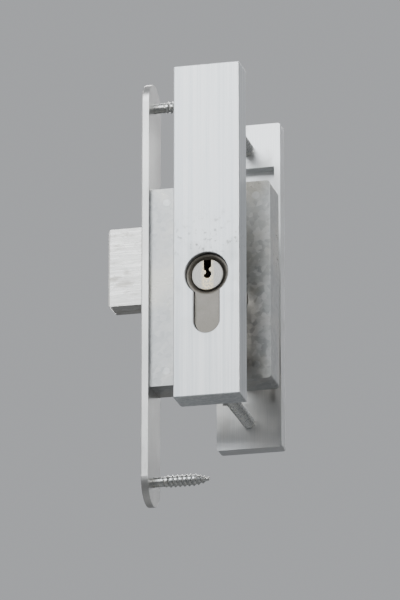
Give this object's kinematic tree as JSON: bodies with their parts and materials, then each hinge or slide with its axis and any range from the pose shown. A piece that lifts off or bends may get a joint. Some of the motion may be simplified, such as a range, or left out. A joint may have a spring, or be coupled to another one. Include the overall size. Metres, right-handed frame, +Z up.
{
  "type": "deadbolt door lock",
  "caption": "Deadbolt door lock: boxed outside shield, profile cylinder keyed outside with a thumbturn inside, and a mortise case with a forend and sliding bolt.",
  "frame": {"origin": "middle of the forend's back face, where it seats on the door's edge", "axes": "+Z up, +X from the door's edge into the leaf, +Y from the outside of the door to the inside"},
  "size_m": [0.068, 0.108, 0.18],
  "materials": {
    "satin_aluminium": "satin anodised, fine upright brushing",
    "inner_aluminium": "satin anodised",
    "plated_steel": "bright zinc plated",
    "hard_steel": "hardened, oil blackened",
    "case_steel": "zinc plated pressed sheet",
    "forend_steel": "satin stainless",
    "bolt_steel": "nickel plated",
    "cylinder_nickel": "satin nickel plated",
    "plug_nickel": "satin nickel plated, turned face",
    "bare_brass": "bare, machined",
    "spring_steel": "drawn wire",
    "turn_nickel": "satin nickel plated casting"
  },
  "bodies": {
    "lock_frame": {"outer_cover": "satin_aluminium", "outer_base_plate": "plated_steel", "anti_drill_plate": "hard_steel", "base_screws": "plated_steel", "threaded_sleeves": "plated_steel", "inner_plate": "inner_aluminium", "through_bolts": "plated_steel", "cylinder_body": "cylinder_nickel", "drill_guard_pins": "hard_steel", "driver_pins": "bare_brass", "pin_springs": "spring_steel", "chamber_plugs": "bare_brass", "case_tray": "case_steel", "case_cover": "case_steel", "case_posts": "plated_steel", "case_screws": "plated_steel", "guide_post": "plated_steel", "lever_pivot": "plated_steel", "forend": "forend_steel", "forend_rivets": "forend_steel", "forend_wood_screws": "plated_steel", "cylinder_fixing_screw": "plated_steel", "lever_spring": "spring_steel"},
    "bolt": {"deadbolt": "bolt_steel", "bolt_stump": "plated_steel", "bolt_rollers": "hard_steel"},
    "thumbturn": {"turn_shaft": "turn_nickel", "turn_shaft_clip": "spring_steel", "inner_coupler": "hard_steel", "coupler_spring": "spring_steel", "cam": "plated_steel", "thumbturn_knob": "turn_nickel", "thumbturn_grub_screw": "hard_steel"},
    "outer_plug": {"outer_plug": "plug_nickel", "outer_plug_clip": "spring_steel", "outer_coupler": "hard_steel", "key_pins": "bare_brass"},
    "lever": {"locking_lever": "bare_brass"}
  },
  "joints": [
    {"name": "thumbturn_turn", "type": "hinge", "parent": "lock_frame", "child": "thumbturn", "pos_m": [0.032, 0, -0.008], "axis": [0, 1, 0], "range_deg": [0, 90]},
    {"name": "bolt_slide", "type": "slide", "parent": "lock_frame", "child": "bolt", "axis": [1, 0, 0], "range_m": [0, 0.015]},
    {"name": "outer_plug_turn", "type": "hinge", "parent": "lock_frame", "child": "outer_plug", "pos_m": [0.032, 0, -0.008], "axis": [0, 1, 0], "continuous": true},
    {"name": "lever_drop", "type": "hinge", "parent": "lock_frame", "child": "lever", "pos_m": [0.044, 0, 0.012], "axis": [0, 1, 0], "range_deg": [-7, 0], "stiffness_Nm_per_rad": 0.02, "springref_deg": -17.19, "deforming": ["lever_spring"]}
  ],
  "couplings": [
    {"joint": "thumbturn_turn", "follows": "bolt_slide", "rad_per_m": 104.72}
  ]
}
